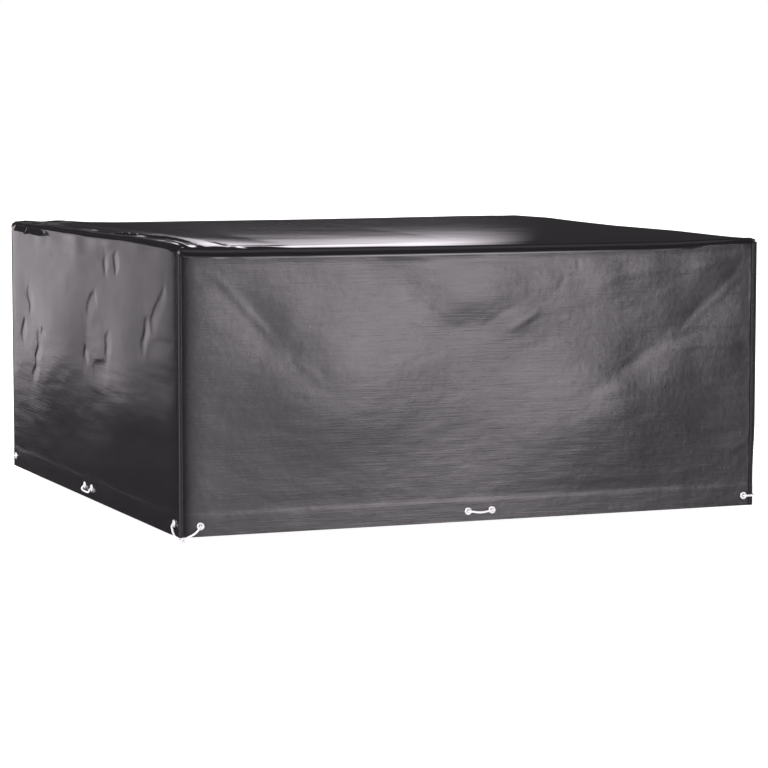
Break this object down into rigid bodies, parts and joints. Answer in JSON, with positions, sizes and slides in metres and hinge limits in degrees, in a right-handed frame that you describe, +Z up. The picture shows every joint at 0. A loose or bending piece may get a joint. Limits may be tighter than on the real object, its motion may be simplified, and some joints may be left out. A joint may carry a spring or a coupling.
{
  "type": "patio furniture cover",
  "caption": "Fitted box-shaped cover of black woven sheet for patio furniture, open below, with metal eyelets and white cord ties along its hem.",
  "frame": {"origin": "centre of the top panel's underside, where the covered furniture holds the cover up", "axes": "+Z up, -Y towards the front wall, -X towards the left wall; the knotted corner is at -X -Y"},
  "size_m": [1.6167, 1.619, 0.7604],
  "materials": {
    "woven_sheet": "satin black woven polyethylene sheet",
    "eyelet_metal": "plated bright metal",
    "tie_cord": "white braided cord"
  },
  "bodies": {
    "root": {"top_panel": "woven_sheet", "front_panel": "woven_sheet", "right_panel": "woven_sheet", "back_panel": "woven_sheet", "left_panel": "woven_sheet", "eyelet_front_near": "eyelet_metal", "eyelet_front_mid_a": "eyelet_metal", "eyelet_front_mid_b": "eyelet_metal", "eyelet_front_far": "eyelet_metal", "eyelet_right_near": "eyelet_metal", "eyelet_right_mid_a": "eyelet_metal", "eyelet_right_mid_b": "eyelet_metal", "eyelet_right_far": "eyelet_metal", "eyelet_back_near": "eyelet_metal", "eyelet_back_mid_a": "eyelet_metal", "eyelet_back_mid_b": "eyelet_metal", "eyelet_back_far": "eyelet_metal", "eyelet_left_near": "eyelet_metal", "eyelet_left_mid_a": "eyelet_metal", "eyelet_left_mid_b": "eyelet_metal", "eyelet_left_far": "eyelet_metal", "tie_front_mid": "tie_cord", "tie_right_mid": "tie_cord", "tie_back_mid": "tie_cord", "tie_left_mid": "tie_cord", "tie_front_right": "tie_cord", "tie_back_right": "tie_cord", "tie_back_left": "tie_cord", "tie_near_front": "tie_cord", "tie_near_left": "tie_cord", "tie_near_knot": "tie_cord", "tie_near_end_a": "tie_cord", "tie_near_end_b": "tie_cord"}
  },
  "joints": []
}
